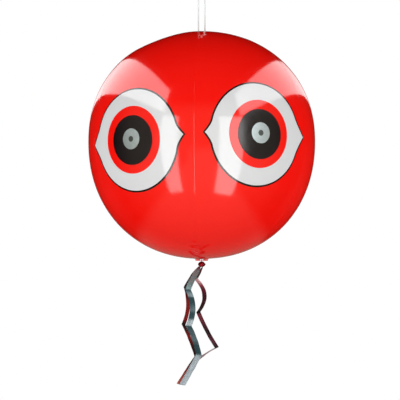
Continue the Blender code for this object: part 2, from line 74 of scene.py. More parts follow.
# Ball, turned from two quarter superellipses
BALL_RADIUS = 0.200
BALL_TOP = 0.1915
BALL_BOTTOM = 0.207
BALL_POWER = 2.134
FILM = 0.00025
GORES = 6
FRONT_SEAM = -3.4
POLE_HOLE_RADIUS = 0.003

# Weld: how far each of its lines lies from the seam, and how far it stands out there
WELD = [(0.0, 0.00001), (0.0004, 0.00012), (0.0012, 0.00012), (0.0018, 0.0), (0.0026, 0.0), (0.0040, 0.0)]
PUCKER_HEIGHT = 0.00035
PUCKER_REACH = 0.014
PUCKERS = 4
PUCKER_START = 0.012

# Slack film at the upper left: how far it lies in, and its middle and reach in azimuth and latitude
SLACK_DEPTH = 0.0040
SLACK_MIDDLE = (280.0, 64.0)
SLACK_REACH = (73.0, 21.6)

# End caps and the two arched tabs
CAP_THICKNESS = 0.0005
CAP_RIM_HEIGHT = 0.00012
CAP_GATHER_HEIGHT = 0.00008
TOP_CAP_RADIUS = 0.020
BOTTOM_CAP_RADIUS = 0.0125
HANGING_TAB_WIDTH = 0.016
HANGING_TAB_THICKNESS = 0.0012
HANGING_TAB_BRIDGE = 0.0022
HANGING_TAB_OPENING = 0.0070
HANGING_TAB_CORNER = 0.0035
TAIL_TAB_WIDTH = 0.023
TAIL_TAB_THICKNESS = 0.0010
TAIL_TAB_BAR = 0.0008
TAIL_TAB_OPENING = 0.0060
TAIL_TAB_CORNER = 0.0020

# Pupils: turn from the front seam, then latitude, one for each printed gore
PUPIL_RADIUS = 0.0391
PUPILS = [(-30.35, -4.55), (30.8, -2.25), (149.4, -3.4), (210.6, -3.4)]
PUPIL_FOOT = 0.00018
PUPIL_FACE = GAP + 0.00015
PUPIL_SILVER_RADIUS = 0.0163
PUPIL_SILVER_RISE = 0.0017
PUPIL_DOT_RADIUS = 0.0046

# Printed eyes: their middles, and distances from there along the ball. The outline is a circle with a
# point towards the seam and a longer one away from it.
EYES = [(-30.75, -4.33), (30.87, -2.08), (149.2, -3.2), (210.8, -3.2)]
EYE_RADIUS = 0.0826
EYE_TIPS = [(0.0, 0.0098, 14.0, 1.8), (180.0, 0.0182, 24.0, 2.2)]
EYE_TILTS = [1.8, -0.7, 0.0, 0.0]
EYE_WHITE_START = 0.0536
EYE_LINE = 0.0028
PRINT_FOOT = 0.00006
PRINT_FACE = 0.00011

# Foil knot under the ball, with its loop. Its pleats come as height, number and shift.
TAIL_KNOT_DROP = 0.0098
TAIL_KNOT_RADIUS = 0.0061
TAIL_KNOT_HEIGHT = 0.0104
TAIL_KNOT_PLEATS = [(0.10, 7, 0.0), (0.05, 17, 1.3)]
TAIL_LOOP_WIRE = 0.0012

# Foil strands, each from its start through its creases: (across, below the ball, bow of the stretch before).
# Turn is the width's turn out of the picture plane, and lean the drift back for each metre down.
STRAND_WIDTH = 0.013
STRAND_NECK = 0.0035
STRAND_NECK_LENGTH = 0.020
STRAND_THICKNESS = 0.0003
STRAND_CURL = 0.0005
STRAND_CRUMPLE = 0.0006
STRAND_STEPS = 16
# Bands are (below the ball, tone) stops down each strand: the foil's red or silver side, with painted
# highlights and painted shade at the creases.
STRANDS = {
    "foil_strand_left": {
        "turn": -58.0,
        "lean": 0.05,
        "start": (-0.0046, 0.0034, 0.0138),
        "creases": [(-0.0283, 0.0497, -0.0014), (-0.0320, 0.1148, 0.0058), (-0.0094, 0.1735, 0.0010),
                    (-0.0405, 0.2183, -0.0006)],
        # Left strand: red foil whose last band, lit red at the tip, is a painted highlight
        "colour_and_painted_light_bands": [(0.020, "deep"), (0.050, "dark"), (0.060, "deep"), (0.075, "red"), (0.105, "red"),
                  (0.113, "dark"), (0.122, "deep"), (0.135, "red"), (0.155, "deep"), (0.172, "dark"),
                  (0.185, "deep"), (0.200, "red"), (0.218, "lit_red")],
    },
    "foil_strand_front": {
        "turn": -40.0,
        "lean": -0.04,
        "start": (-0.0030, -0.0036, 0.0136),
        "creases": [(-0.0237, 0.0525, -0.0014), (-0.0224, 0.1145, 0.0072), (-0.0050, 0.1672, 0.0016),
                    (-0.0332, 0.2125, 0.0)],
        "colour_and_painted_light_bands": [(0.014, "maroon"), (0.020, "mint"), (0.050, "mint"), (0.053, "teal"), (0.056, "steel"),
                  (0.063, "silver"), (0.067, "teal"), (0.076, "teal"), (0.088, "steel"), (0.094, "teal"),
                  (0.102, "teal"), (0.106, "silver"), (0.112, "silver"), (0.1155, "teal"), (0.138, "steel"),
                  (0.150, "teal"), (0.164, "teal"), (0.168, "ash"), (0.2125, "ash")],
    },
    "foil_strand_right": {
        "turn": 56.0,
        "lean": 0.10,
        "start": (0.0012, 0.0036, 0.0151),
        "creases": [(-0.0105, 0.0358, 0.0), (-0.0060, 0.0955, 0.0134), (0.0266, 0.1560, -0.0015),
                    (-0.0150, 0.1900, -0.0020)],
        "colour_and_painted_light_bands": [(0.020, "maroon"), (0.034, "deep"), (0.037, "pale"), (0.047, "rose"), (0.060, "maroon"),
                  (0.080, "deep"), (0.096, "dark"), (0.101, "rose"), (0.115, "maroon"), (0.130, "dark"),
                  (0.145, "maroon"), (0.156, "dark"), (0.160, "pale"), (0.185, "maroon")],
    },
}

# Tones along a foil's bands: the foil's own red and silver colours, with lighter and darker tones that paint
# its highlights and the shade at its creases
FOIL_TONES = {
    "silver": (0.36, 0.46, 0.49), "mint": (0.20, 0.42, 0.42), "steel": (0.14, 0.22, 0.25),
    "ash": (0.22, 0.28, 0.30), "teal": (0.030, 0.085, 0.10),
    "red": (0.30, 0.008, 0.006), "lit_red": (0.50, 0.10, 0.06), "rose": (0.28, 0.035, 0.06),
    "maroon": (0.12, 0.010, 0.028), "deep": (0.055, 0.005, 0.008), "dark": (0.010, 0.002, 0.003),
    "pale": (0.75, 0.55, 0.58),
}

# Filling valve on the plain gore at the left, turned about the ball's own normal there
VALVE_TURN = -90.0
VALVE_LATITUDE = 40.0
VALVE_HOLE_CLEAR = 0.0010
FLANGE_RADIUS = 0.014
FLANGE_THICKNESS = 0.0007
FLANGE_RIM_START = 0.9
FLANGE_RIM_SHARE = 0.4
STEM_RADIUS = 0.0042
STEM_BORE_RADIUS = 0.0033
STEM_DEPTH = 0.011
STEM_LIP_RADIUS = 0.0086
STEM_LIP_THICKNESS = 0.0010
PLUG_HEAD_RADIUS = 0.0055
PLUG_HEAD_THICKNESS = 0.0014
PLUG_NOSE_LENGTH = 0.0045
PLUG_NOSE_TIP_RADIUS = 0.0019
PLUG_TONGUE_REACH = 0.0080
PLUG_TONGUE_WIDTH = 0.003
PLUG_TONGUE_THICKNESS = 0.0008
PLUG_TONGUE_ROOT = 0.6
PLUG_TONGUE_EDGE = 0.00035
FLAP_THICKNESS = 0.0006

# Heights that follow from the sizes above
TOP_POLE_Z = CORD_BOTTOM_Z - CORD_DIAMETER / 2 - 2 * GAP - CAP_THICKNESS
BALL_Z = TOP_POLE_Z - BALL_TOP
BOTTOM_POLE_Z = BALL_Z - BALL_BOTTOM
TAIL_LOOP_BEND = hypot(TAIL_TAB_BAR, TAIL_TAB_THICKNESS) / 2 + GAP + TAIL_LOOP_WIRE / 2
TAIL_PIVOT_Z = BOTTOM_POLE_Z - GAP - CAP_THICKNESS - GAP - TAIL_LOOP_WIRE / 2 - TAIL_LOOP_BEND
FLANGE_TOP = GAP + FLANGE_THICKNESS
LIP_TOP = FLANGE_TOP + GAP + STEM_LIP_THICKNESS
PLUG_NOSE_RADIUS = STEM_BORE_RADIUS - GAP

# Lamps, with heights and distances from the ball's centre. Long boxes above at the sides: name, side,
# top, bottom, degrees that they climb towards the back, glow.
BOXES = [("left_box", -1, 1.68, 0.68, 0.0, 5.2), ("right_box", 1, 1.50, 0.65, 2.5, 4.4)]
BOX_ASIDE = 1.2
BOX_FRONT = -1.68
BOX_BACK = 3.90
BOX_FAR_SHARE = 0.12
# Upright strips in front: name, degrees aside, near and far edge, top, bottom, roll, glow
STRIPS = [("left_strip", -32, -0.09, 0.21, 0.29, -1.04, -1.9, 4.6),
          ("right_strip", 32, -0.335, 0.095, 0.28, -1.14, 0.0, 4.9)]
STRIP_AWAY = 1.1
# Plain fills all round, a little lower: name, side across, side along, glow
FILLS = [("front_left_fill", -1, -1, 2.6), ("front_right_fill", 1, -1, 2.5),
         ("back_left_fill", -1, 1, 2.4), ("back_right_fill", 1, 1, 2.4)]
FILL_AWAY = 1.6
FILL_DROP = 0.45
FILL_SIZE = 1.5

# Surroundings: the floor turns white from the first to the second distance of its fade
WHITE = (1, 1, 1)
WORLD_GLOW = 0.62
FLOOR_Z = -1.60
FLOOR_RADIUS = 8.0
FLOOR_PAINT = (0.45, 0.45, 0.45)
FLOOR_GLOW = 0.70
FLOOR_FADE = (0.8, 2.6)
DRAPES_RADIUS = 4.2
DRAPES_TOP_Z = 2.2
DRAPES_WALL = (1, 0.93, 0.62)
DRAPES_GROUND = (1, 0.90, 0.75)

# Lengths below this count as none
TINY = 1e-9


def on_ball(azimuth, latitude, offset=0.0):
    """A point on the ball, in the whole model, with the outward normal. The azimuth runs from -Y to +X."""
    turn, rise = radians(azimuth), radians(latitude)
    height = BALL_TOP if rise > 0 else BALL_BOTTOM
    reach = ((cos(rise) / BALL_RADIUS) ** BALL_POWER + (abs(sin(rise)) / height) ** BALL_POWER)
    reach = reach ** (-1 / BALL_POWER)
    out, up = reach * cos(rise), reach * sin(rise)
    steep = BALL_POWER - 1
    slope_out = out**steep / BALL_RADIUS**BALL_POWER
    slope_up = copysign(abs(up) ** steep / height**BALL_POWER, up)
    normal = Vector((slope_out * sin(turn), -slope_out * cos(turn), slope_up)).normalized()
    point = Vector((out * sin(turn), -out * cos(turn), up + BALL_Z))
    return point + normal * offset, normal


def height_over_pole(radius, top):
    """How far the ball has dropped from its pole at a distance from the axis."""
    height = BALL_TOP if top else BALL_BOTTOM
    return height * (1 - (1 - (radius / BALL_RADIUS) ** BALL_POWER) ** (1 / BALL_POWER))


def add_object(name, data):
    made = bpy.data.objects.new(name, data)
    bpy.context.collection.objects.link(made)
    return made


def mesh_object(name, build, materials):
    """An object from a bmesh, which is used up."""
    data = bpy.data.meshes.new(name)
    build.to_mesh(data)
    build.free()
    for material in materials:
        data.materials.append(material)
    return add_object(name, data)


def add_piece(name, build, body, materials, stands_for=(), place=None, sharp_angle=35.0):
    """A piece in the whole model's axes, made from a closed bmesh that place puts where it belongs."""
    bmesh.ops.remove_doubles(build, verts=build.verts, dist=1e-6)
    if place:
        bmesh.ops.transform(build, matrix=place, verts=build.verts)
    bmesh.ops.recalc_face_normals(build, faces=build.faces)
    piece = mesh_object(name, build, materials)
    piece.data.shade_smooth()
    piece.data.set_sharp_from_angle(angle=radians(sharp_angle))
    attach(piece, body)
    if stands_for:
        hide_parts(*stands_for)
    return piece


def add_faces(build, before, after, steps, finish=0):
    """Faces between two lines of corners, one at each step."""
    for k in steps:
        face = build.faces.new((before[k - 1], before[k], after[k], after[k - 1]))
        face.material_index = finish


def shell(rows, thickness, wrap=False, finishes=None):
    """A closed skin from rows of (point, normal), its outer face. Each row of faces may have its finish."""
    build = bmesh.new()
    outer = [[build.verts.new(point) for point, _ in row] for row in rows]
    inner = [[build.verts.new(point - normal * thickness) for point, normal in row] for row in rows]
    finishes = finishes or [0] * (len(rows) - 1)
    sides = range(0 if wrap else 1, len(rows[0]))
    for level, finish in enumerate(finishes):
        for skin in (outer, inner):
            add_faces(build, skin[level], skin[level + 1], sides, finish)
    rims = [(outer[0], inner[0], sides, 0), (outer[-1], inner[-1], sides, finishes[-1])]
    if not wrap:
        rims += [([row[k] for row in outer], [row[k] for row in inner], range(1, len(rows)), 0)
                 for k in (0, -1)]
    for line, under, steps, finish in rims:
        if (line[0].co - line[1].co).length > TINY:
            add_faces(build, line, under, steps, finish)
    return build


def turned(outline, steps=64):
    """A solid turned about Z from a closed outline of (radius, height) points."""
    build = bmesh.new()
    corners = [build.verts.new((radius, 0, height)) for radius, height in outline]
    for before, after in zip([corners[-1], *corners], corners):
        if max(before.co.x, after.co.x) > TINY:
            build.edges.new((before, after))
    bmesh.ops.spin(build, geom=build.verts[:] + build.edges[:], cent=(0, 0, 0), axis=(0, 0, 1),
                   angle=2 * pi, steps=steps, use_merge=True)
    return build


def curve(start, corner, end, share):
    """A point on the smooth curve from start to end that bends towards the corner."""
    return start.lerp(corner, share).lerp(corner.lerp(end, share), share)


def rounded(outline, radius):
    """The outline with each corner off the axis rounded, by at most a third of the sides that meet there."""
    steps, straight = 3, 0.97
    points = [Vector(point) for point in outline]
    smooth = []
    for i, corner in enumerate(points):
        before, after = points[i - 1] - corner, points[(i + 1) % len(points)] - corner
        reach = min(radius, before.length / 3, after.length / 3)
        if corner.x < TINY or abs(before.normalized().dot(after.normalized())) > straight:
            smooth.append(corner)
            continue
        start, end = corner + before.normalized() * reach, corner + after.normalized() * reach
        smooth += [curve(start, corner, end, k / steps) for k in range(steps + 1)]
    return smooth


def plate(outline, thickness, bevel):
    """A flat plate from an outline of (across, up) points, with its edges rounded."""
    build = bmesh.new()
    face = build.faces.new([build.verts.new((across, up, -thickness / 2)) for across, up in outline])
    pushed = bmesh.ops.extrude_face_region(build, geom=[face])["geom"]
    bmesh.ops.translate(build, vec=(0, 0, thickness),
                        verts=[v for v in pushed if isinstance(v, bmesh.types.BMVert)])
    rims = [e for e in build.edges if abs(e.verts[0].co.z - e.verts[1].co.z) < TINY]
    bmesh.ops.bevel(build, geom=rims, offset=bevel, segments=2, profile=0.5, affect="EDGES")
    return build


def full_turn(steps):
    """Angles of even steps round a circle."""
    return [2 * pi * k / steps for k in range(steps)]


def bridge(build, rings):
    """Faces from each closed ring of corners to the next."""
    for before, after in zip(rings, rings[1:]):
        add_faces(build, before, after, range(len(before)))


def sweep(points, radius_at, sides, build=None):
    """A round rod along points, with domed ends. radius_at takes the run so far and the turn round it."""
    build = build or bmesh.new()
    points = [Vector(point) for point in points]
    last = len(points) - 1
    along = [(points[min(i + 1, last)] - points[max(i - 1, 0)]).normalized() for i in range(last + 1)]
    side = along[0].orthogonal().normalized()
    stations = []
    run = 0.0
    for i, point in enumerate(points):
        side = (side - along[i] * side.dot(along[i])).normalized()
        run += (point - points[i - 1]).length if i else 0.0
        stations.append((point, along[i], side, run, 1.0))
    domes = 4
    first, final = stations[0], stations[-1]
    reach = radius_at(0.0, 0.0)
    for k in range(1, domes + 1):
        swing = pi / 2 * k / domes
        for (point, way, aside, at, _), back in ((first, True), (final, False)):
            moved = point + way * (reach * sin(swing)) * (-1 if back else 1)
            stations.insert(0 if back else len(stations), (moved, way, aside, at, cos(swing)))
    rings = []
    for point, way, aside, at, scale in stations:
        other = way.cross(aside)
        ring = []
        for turn in full_turn(sides):
            radius = radius_at(at, turn) * scale
            ring.append(build.verts.new(point + radius * (cos(turn) * aside + sin(turn) * other)))
        rings.append(ring)
    bridge(build, rings)
    return build


def smooth_route(points, samples):
    """More points along the smooth curve through the given ones."""
    ends = [2 * points[0] - points[1], *points, 2 * points[-1] - points[-2]]
    route = []
    for before, start, end, after in zip(ends, ends[1:], ends[2:], ends[3:]):
        for k in range(samples):
            t = k / samples
            route.append(
                0.5 * (2 * start + (end - before) * t + (2 * before - 5 * start + 4 * end - after) * t**2
                       + (3 * start - before - 3 * end + after) * t**3)
            )
    return [*route, points[-1]]


def feed(tree, socket, value):
    """Sets a socket, or links it where the value is another socket. A colour comes without alpha."""
    if isinstance(value, bpy.types.NodeSocket):
        tree.links.new(value, socket)
    elif socket.type == "RGBA":
        socket.default_value = (*value, 1.0)
    else:
        socket.default_value = value


def add_node(tree, kind, inputs=None, **settings):
    """A shader node, from its kind, the values or sockets for its inputs, and its settings."""
    node = tree.nodes.new(f"ShaderNode{kind}")
    for name, value in settings.items():
        setattr(node, name, value)
    for name, value in (inputs or {}).items():
        feed(tree, node.inputs[name], value)
    return node


def map_range(tree, source, start, end, low, high, kind="LINEAR"):
    """The source's range from start to end, stretched to run from low to high."""
    inputs = {"Value": source, "From Min": start, "From Max": end, "To Min": low, "To Max": high}
    return add_node(tree, "MapRange", inputs, interpolation_type=kind).outputs["Result"]


class Finish:
    """A procedural material: a plain shader, with noise in its tone, its gloss and its surface."""

    def __init__(self, name, roughness, metallic=0.0):
        self.material = bpy.data.materials.new(name)
        self.material.use_nodes = True
        self.tree = self.material.node_tree
        self.shader = self.tree.nodes["Principled BSDF"]
        self.give("Roughness", roughness)
        self.give("Metallic", metallic)
        self.place = add_node(self.tree, "TexCoord").outputs["Object"]

    def give(self, label, value):
        feed(self.tree, self.shader.inputs[label], value)

    def noise(self, scale, detail, stretch=(1, 1, 1)):
        """Noise with that many lumps to the metre."""
        place = {"Vector": self.place, "Scale": [scale * s for s in stretch]}
        inputs = {"Vector": add_node(self.tree, "Mapping", place).outputs[0], "Scale": 1.0, "Detail": detail}
        return add_node(self.tree, "TexNoise", inputs).outputs["Fac"]

    def spread(self, source, low=0.0, high=1.0, start=0.3, end=0.7):
        """The source, stretched to run from low to high. Noise is mostly between this start and end."""
        return map_range(self.tree, source, start, end, low, high)

    def blend(self, share, first, second):
        """A colour that runs from first to second with the share. Either may be a socket."""
        # Numbers of the sockets that a mix node uses for colours
        factor, start, end, result = 0, 6, 7, 2
        inputs = {factor: share, start: first, end: second}
        return add_node(self.tree, "Mix", inputs, data_type="RGBA").outputs[result]

    def tone(self, scale, detail, light, dark, stretch=(1, 1, 1)):
        self.give("Base Color", self.blend(self.spread(self.noise(scale, detail, stretch)), light, dark))

    def gloss(self, scale, detail, low, high):
        self.give("Roughness", self.spread(self.noise(scale, detail), low, high))

    def colour_and_painted_light_bands(self, stops):
        """A colour that runs through (height, colour) stops, from the lowest up."""
        up = add_node(self.tree, "SeparateXYZ", {0: self.place}).outputs["Z"]
        low, high = stops[0][0], stops[-1][0]
        ramp = add_node(self.tree, "ValToRGB", {"Fac": self.spread(up, 0, 1, low, high)})
        elements = ramp.color_ramp.elements
        for height, _ in stops[1:-1]:
            elements.new((height - low) / (high - low))
        for element, (_, colour) in zip(elements, stops):
            element.color = (*colour, 1.0)
        return ramp.outputs["Color"]

    def bump(self, scale, detail, distance, stretch=(1, 1, 1)):
        """Noise that raises the surface by up to that distance in metres, over any bump before."""
        inputs = {"Distance": distance, "Height": self.noise(scale, detail, stretch)}
        used = self.shader.inputs["Normal"]
        if used.is_linked:
            inputs["Normal"] = used.links[0].from_socket
        self.give("Normal", add_node(self.tree, "Bump", inputs).outputs[0])


def film_finish(name, light, dark):
    """Glossy printed film with the slow waves of a blown-up skin."""
    made = Finish(name, 0.06)
    made.tone(9, 3, light, dark)
    made.gloss(60, 4, 0.08, 0.12)
    made.bump(14, 1, 0.00025)
    made.bump(2500, 2, 0.000003)
    return made.material


def cap_finish():
    """Thicker, duller film with the grain of the welding tool."""
    made = Finish("cap_film_finish", 0.3)
    made.tone(300, 3, (0.66, 0.012, 0.008), (0.50, 0.008, 0.006))
    made.gloss(500, 3, 0.22, 0.38)
    made.bump(1800, 3, 0.00004)
    return made.material


def black_foil_finish():
    made = Finish("black_foil_finish", 0.2)
    made.tone(120, 4, (0.003, 0.0004, 0.003), (0.005, 0.001, 0.005))
    made.gloss(90, 3, 0.17, 0.23)
    made.bump(30, 1, 0.0001)
    return made.material


def silver_foil_finish(name, light, dark):
    made = Finish(name, 0.4, metallic=0.85)
    made.tone(200, 4, light, dark)
    made.gloss(700, 3, 0.34, 0.46)
    made.bump(900, 3, 0.00003)
    return made.material


def cord_finish():
    """White yarn with fine fibres along it."""
    made = Finish("cord_finish", 0.75)
    along = (1, 1, 0.25)
    made.tone(1600, 4, (0.80, 0.87, 0.85), (0.64, 0.71, 0.69), along)
    made.gloss(800, 2, 0.68, 0.85)
    made.bump(1600, 4, 0.00015, along)
    made.give("Sheen Weight", 0.1)
    made.give("Sheen Roughness", 0.4)
    return made.material


def steel_finish():
    """Zinc-plated wire with faint clouds."""
    made = Finish("zinc_steel_finish", 0.28, metallic=1.0)
    made.tone(350, 4, (0.66, 0.67, 0.69), (0.50, 0.51, 0.53))
    made.gloss(900, 2, 0.22, 0.34)
    made.bump(1500, 2, 0.000008)
    return made.material


def foil_finish(name, colour_and_painted_light_bands):
    """Thin foil: its own colour with painted highlights and painted crease shade in bands along its
    stretches, fine streaks and soft crinkles.
    """
    made = Finish(name, 0.35, metallic=0.35)
    # Painted highlights and painted crease shade down the strand, over the foil's own red or silver
    tone = made.colour_and_painted_light_bands([(BOTTOM_POLE_Z - below, FOIL_TONES[tone]) for below, tone in reversed(colour_and_painted_light_bands)])
    shade = made.blend(made.spread(made.noise(30, 1), 0.1, 0.3), tone, FOIL_TONES["dark"])
    streaks = made.spread(made.noise(260, 3, (1, 1, 0.2)), start=0.35, end=0.65)
    made.give("Base Color", made.blend(streaks, tone, shade))
    made.gloss(200, 3, 0.30, 0.42)
    made.bump(60, 2, 0.0001)
    return made.material


def knot_finish():
    """The same foil pulled tight: deep red metal with dark clouds."""
    made = Finish("knot_foil_finish", 0.25, metallic=0.85)
    made.tone(260, 3, (0.42, 0.008, 0.018), (0.12, 0.003, 0.006))
    made.gloss(200, 3, 0.16, 0.30)
    made.bump(500, 3, 0.0002)
    return made.material


def plastic_finish():
    """Soft white plastic with a fine moulded grain."""
    made = Finish("valve_plastic_finish", 0.35)
    made.tone(400, 3, (0.78, 0.80, 0.80), (0.70, 0.72, 0.72))
    made.gloss(900, 3, 0.28, 0.42)
    made.bump(2500, 2, 0.00002)
    made.give("Subsurface Weight", 0.15)
    made.give("Subsurface Scale", 0.002)
    return made.material


def add_camera():
    data = bpy.data.cameras.new("photo_camera")
    data.lens = CAMERA_LENS
    data.dof.use_dof = False
    camera = add_object("photo_camera", data)
    camera.location = CAMERA_PLACE
    camera.rotation_euler = (radians(90 + CAMERA_RISE), 0, radians(CAMERA_TURN))
    bpy.context.scene.camera = camera


def add_lamp(name, centre, facing, size, glow, in_gloss, roll=0.0):
    """A lamp that either glosses or plain surfaces see. Its glow is its brightness, where 1 is white."""
    data = bpy.data.lights.new(name, "AREA")
    data.shape = "RECTANGLE"
    data.size, data.size_y = size
    data.energy = glow * pi * size[0] * size[1]
    lamp = add_object(name, data)
    lamp.location = centre
    turn = Vector(facing).to_track_quat("-Z", "Y").to_matrix() @ Matrix.Rotation(radians(roll), 3, "Z")
    lamp.rotation_euler = turn.to_euler()
    lamp.visible_camera = False
    lamp.visible_glossy = in_gloss
    lamp.visible_diffuse = not in_gloss
    return data


def fade_lamp(data, first, last):
    """Makes a lamp's share of its glow run evenly from one end to the other."""
    data.use_nodes = True
    tree = data.node_tree
    spot = add_node(tree, "NewGeometry").outputs["Parametric"]
    along = add_node(tree, "SeparateXYZ", {0: spot}).outputs["X"]
    feed(tree, tree.nodes["Emission"].inputs["Strength"], map_range(tree, along, 0, 1, first, last))


def add_boxes():
    """Long soft boxes that fade towards the back."""
    middle = (BOX_FRONT + BOX_BACK) / 2
    for name, side, top, bottom, climb, glow in BOXES:
        up = (top + bottom) / 2 + tan(radians(climb)) * middle + BALL_Z
        size = (BOX_BACK - BOX_FRONT, top - bottom)
        data = add_lamp(name, (side * BOX_ASIDE, middle, up), (-side, 0, 0), size, glow, True, climb * side)
        fade_lamp(data, *((1.0, BOX_FAR_SHARE) if side > 0 else (BOX_FAR_SHARE, 1.0)))


def add_strips():
    for name, turn, near, far, top, bottom, roll, glow in STRIPS:
        out = Vector((sin(radians(turn)), -cos(radians(turn)), 0))
        side = Vector((-out.y, out.x, 0))
        centre = out * STRIP_AWAY + side * (near + far) / 2 + Vector((0, 0, (top + bottom) / 2 + BALL_Z))
        add_lamp(name, centre, -out, (far - near, top - bottom), glow, True, roll)


def add_fills():
    for name, across, along, glow in FILLS:
        x, y = across * FILL_AWAY, along * FILL_AWAY
        add_lamp(name, (x, y, BALL_Z - FILL_DROP), (-x, -y, FILL_DROP), (FILL_SIZE, FILL_SIZE), glow, False)


def emission(tree, colour, strength):
    return add_node(tree, "Emission", {"Color": colour, "Strength": strength}).outputs[0]


def seen_ray(tree):
    """1 for a ray that shows the background itself, in view, in a gloss or through something clear."""
    path = add_node(tree, "LightPath").outputs
    total = path["Is Camera Ray"]
    for label in ("Is Glossy Ray", "Is Transmission Ray"):
        total = add_node(tree, "Math", {0: total, 1: path[label]}, operation="MAXIMUM").outputs[0]
    return total


def set_world():
    world = bpy.data.worlds.new("studio")
    world.use_nodes = True
    bpy.context.scene.world = world
    tree = world.node_tree
    plain = tree.nodes["Background"]
    feed(tree, plain.inputs["Color"], WHITE)
    feed(tree, plain.inputs["Strength"], WORLD_GLOW)
    white = add_node(tree, "Background", {"Color": WHITE, "Strength": 1.0})
    mix = add_node(tree, "MixShader", {0: seen_ray(tree), 1: plain.outputs[0], 2: white.outputs[0]})
    feed(tree, tree.nodes["World Output"].inputs["Surface"], mix.outputs[0])


def stage_object(name, build, finish, surface):
    """A piece of the studio. Surface adds its shader to a node tree."""
    material = bpy.data.materials.new(finish)
    material.use_nodes = True
    tree = material.node_tree
    tree.nodes.remove(tree.nodes["Principled BSDF"])
    feed(tree, tree.nodes["Material Output"].inputs["Surface"], surface(tree))
    made = mesh_object(name, build, [material])
    return made


def floor_surface(tree):
    """Pale paint that keeps the shadow, and runs into plain white further out."""
    paint = add_node(tree, "BsdfDiffuse", {"Color": FLOOR_PAINT}).outputs[0]
    glow, hidden = emission(tree, WHITE, FLOOR_GLOW), emission(tree, WHITE, 0.0)
    glow = add_node(tree, "MixShader", {0: seen_ray(tree), 1: hidden, 2: glow}).outputs[0]
    near = add_node(tree, "AddShader", {0: paint, 1: glow}).outputs[0]
    place = add_node(tree, "TexCoord").outputs["Object"]
    away = add_node(tree, "VectorMath", {0: place, 1: (0, 0, FLOOR_Z)}, operation="DISTANCE")
    fade = map_range(tree, away.outputs["Value"], *FLOOR_FADE, 0, 1, "SMOOTHSTEP")
    return add_node(tree, "MixShader", {0: fade, 1: near, 2: emission(tree, WHITE, 1.0)}).outputs[0]


def add_floor():
    build = bmesh.new()
    bmesh.ops.create_circle(build, cap_ends=True, radius=FLOOR_RADIUS, segments=96)
    bmesh.ops.translate(build, vec=(0, 0, FLOOR_Z), verts=build.verts)
    stage_object("floor", build, "pale_floor", floor_surface)


def ramps(tree, ranges):
    """The product of smooth ramps, each given as (source, start, end, low, high)."""
    total = None
    for entry in ranges:
        ramp = map_range(tree, *entry, "SMOOTHSTEP")
        if total:
            ramp = add_node(tree, "Math", {0: total, 1: ramp}, operation="MULTIPLY").outputs[0]
        total = ramp
    return total


def drapes_surface(tree):
    """A warm wall in front and a pale floor, each of them dim."""
    x, y, z = add_node(tree, "SeparateXYZ", {0: add_node(tree, "TexCoord").outputs["Object"]}).outputs
    aside = add_node(tree, "Math", {0: x}, operation="ABSOLUTE").outputs[0]
    wall = [(y, 0.6, -1.9, 0.015, 0.45), (z, 2.6, 0.8, 0, 1)]
    ground = [(aside, 1.2, 0.8, 0, 1), (z, BALL_Z - 0.2, BALL_Z - 0.9, 0, 1), (y, 0.6, -0.8, 0.2, 0.42)]
    wall = emission(tree, DRAPES_WALL, ramps(tree, wall))
    ground = emission(tree, DRAPES_GROUND, ramps(tree, ground))
    return add_node(tree, "AddShader", {0: wall, 1: ground}).outputs[0]


def add_drapes():
    """A dim drum round the studio that only glosses see."""
    build = bmesh.new()
    loops = []
    for z in (FLOOR_Z + 0.02, DRAPES_TOP_Z):
        loops.append([build.verts.new((DRAPES_RADIUS * sin(turn), DRAPES_RADIUS * cos(turn), z))
                      for turn in full_turn(72)])
    bridge(build, loops)
    for loop in loops:
        build.faces.new(loop)
    drapes = stage_object("drapes", build, "dim_drapes", drapes_surface)
    for ray in ("camera", "diffuse", "shadow", "transmission", "volume_scatter"):
        setattr(drapes, f"visible_{ray}", False)


def add_hook(material):
    """A wire bent twice. The second bend starts at the point where the first ends."""
    high = Vector((0, 0, HOOK_WIRE / 2 - HOOK_BEND_RADIUS))
    low = high - Vector((0, 0, 2 * HOOK_BEND_RADIUS))
    degrees_per_step = 4
    path = []
    for centre, first, last in ((high, 180 + HOOK_TIP_TURN, -90), (low, 90, 360 + HOOK_TIP_TURN)):
        path = path[:-1]
        steps = round(abs(last - first) / degrees_per_step)
        for k in range(steps + 1):
            turn = radians(first + (last - first) * k / steps)
            path.append(centre + HOOK_BEND_RADIUS * Vector((0, cos(turn), sin(turn))))
    return add_piece("wire_hook", sweep(path, lambda run, turn: HOOK_WIRE / 2, 24), "hook",
                     [material], ["s_hook"])


def twisted(run, turn):
    """Radius of a cord of three strands."""
    strands, lay_length, groove, crest = 3, 0.0066, 0.13, 1.03
    wave = 0.5 - 0.5 * cos(strands * (turn - 2 * pi * run / lay_length))
    return CORD_DIAMETER / 2 * (crest - groove * (1 - wave) ** 2)


